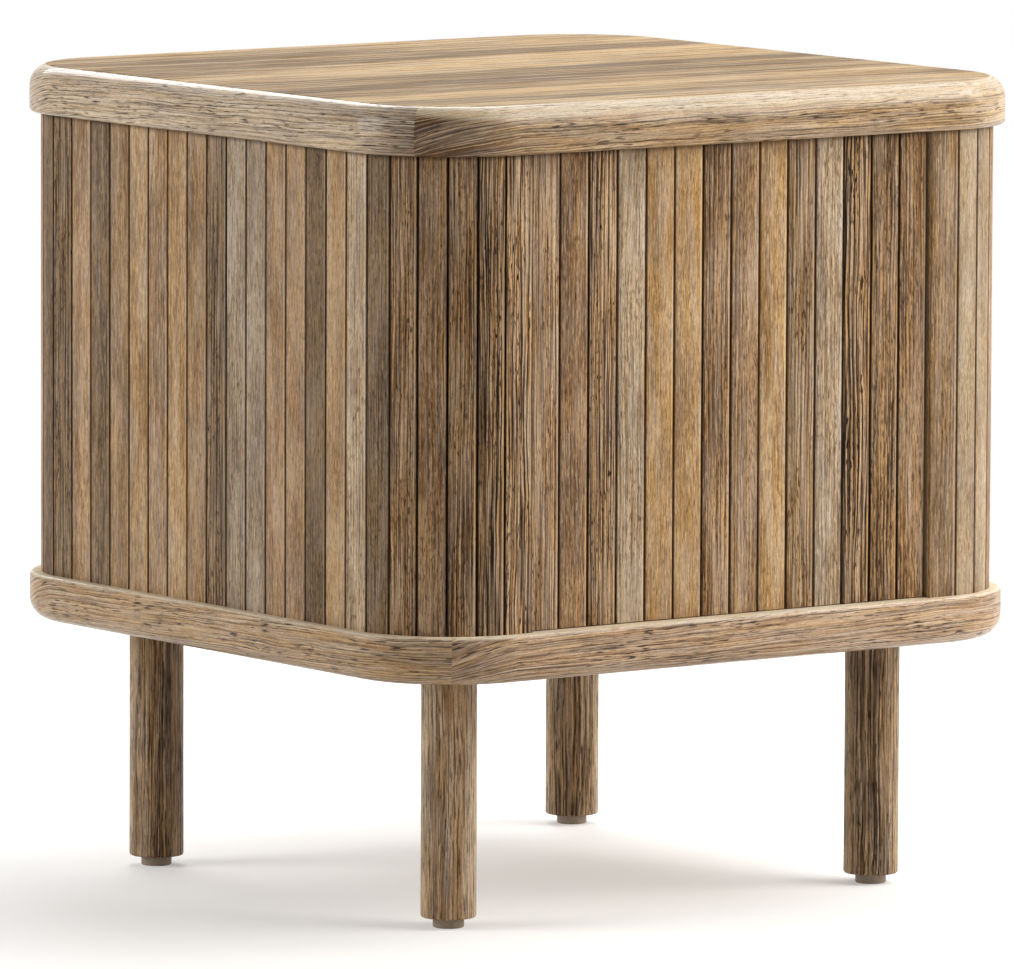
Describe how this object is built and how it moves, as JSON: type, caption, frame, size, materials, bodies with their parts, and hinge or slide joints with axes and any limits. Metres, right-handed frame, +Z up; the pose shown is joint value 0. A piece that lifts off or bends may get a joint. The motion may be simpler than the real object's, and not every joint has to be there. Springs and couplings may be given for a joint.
{
  "type": "bedside table",
  "caption": "Rounded square bedside table clad in upright wooden slats, with a tambour door that slides round the corner, on turned legs.",
  "frame": {"origin": "on the floor, under the middle of the table, level with the undersides of the glides", "axes": "+Z up, +X to the right along the front as seen by someone facing it, -Y out of the front"},
  "size_m": [0.5, 0.49, 0.5265],
  "materials": {
    "panel_wood": "oiled solid wood, brushed grain",
    "slat_wood": "oiled wood in mixed tones, brushed grain",
    "door_slat_wood": "oiled wood in mixed tones, brushed grain",
    "leg_wood": "oiled turned wood",
    "inner_wood": "lacquered board",
    "canvas": "glued cotton canvas",
    "glide_plastic": "matt moulded",
    "steel": "zinc plated"
  },
  "bodies": {
    "case": {"top_panel": "panel_wood", "base_panel": "panel_wood", "left_wall": "inner_wood", "right_wall": "inner_wood", "back_board": "inner_wood", "door_jamb": "inner_wood", "left_backing": "inner_wood", "right_backing": "inner_wood", "back_backing": "inner_wood", "shelf": "inner_wood", "shelf_pins": "steel", "wall_dowels": "inner_wood", "left_slats": "slat_wood", "right_slats": "slat_wood", "back_slats": "slat_wood", "corner_slats_front_left": "slat_wood", "corner_slats_front_right": "slat_wood", "corner_slats_back_left": "slat_wood", "corner_slats_back_right": "slat_wood", "leg_front_left": "leg_wood", "leg_front_right": "leg_wood", "leg_back_left": "leg_wood", "leg_back_right": "leg_wood", "glide_front_left": "glide_plastic", "glide_front_right": "glide_plastic", "glide_back_left": "glide_plastic", "glide_back_right": "glide_plastic", "leg_bolts": "steel"},
    "door_lead": {"tambour_slat_09": "door_slat_wood", "tambour_slat_10": "door_slat_wood", "tambour_slat_11": "door_slat_wood", "tambour_slat_12": "door_slat_wood", "tambour_slat_13": "door_slat_wood", "tambour_slat_14": "door_slat_wood", "canvas_lead": "canvas", "lead_bar": "inner_wood"},
    "door_link_1": {"tambour_slat_08": "door_slat_wood", "canvas_link_1": "canvas"},
    "door_link_2": {"tambour_slat_07": "door_slat_wood", "canvas_link_2": "canvas"},
    "door_link_3": {"tambour_slat_06": "door_slat_wood", "canvas_link_3": "canvas"},
    "door_tail": {"tambour_slat_01": "door_slat_wood", "tambour_slat_02": "door_slat_wood", "tambour_slat_03": "door_slat_wood", "tambour_slat_04": "door_slat_wood", "tambour_slat_05": "door_slat_wood", "canvas_tail": "canvas"}
  },
  "joints": [
    {"name": "door_slide", "type": "slide", "parent": "case", "child": "door_lead", "axis": [-1, 0, 0], "range_m": [0, 0.2]},
    {"name": "door_bend_1", "type": "hinge", "parent": "door_lead", "child": "door_link_1", "pos_m": [0.0224, -0.2262, 0.345], "axis": [0, 0, -1], "range_deg": [0, 22.5]},
    {"name": "door_bend_2", "type": "hinge", "parent": "door_link_1", "child": "door_link_2", "pos_m": [0, -0.2262, 0.345], "axis": [0, 0, -1], "range_deg": [0, 22.5]},
    {"name": "door_bend_3", "type": "hinge", "parent": "door_link_2", "child": "door_link_3", "pos_m": [-0.0224, -0.2262, 0.345], "axis": [0, 0, -1], "range_deg": [0, 22.5]},
    {"name": "door_bend_4", "type": "hinge", "parent": "door_link_3", "child": "door_tail", "pos_m": [-0.0448, -0.2262, 0.345], "axis": [0, 0, -1], "range_deg": [0, 22.5]}
  ],
  "couplings": [
    {"joint": "door_bend_1", "follows": "door_slide", "rad_per_m": 1.9634},
    {"joint": "door_bend_2", "follows": "door_slide", "rad_per_m": 1.9634},
    {"joint": "door_bend_3", "follows": "door_slide", "rad_per_m": 1.9634},
    {"joint": "door_bend_4", "follows": "door_slide", "rad_per_m": 1.9634}
  ]
}
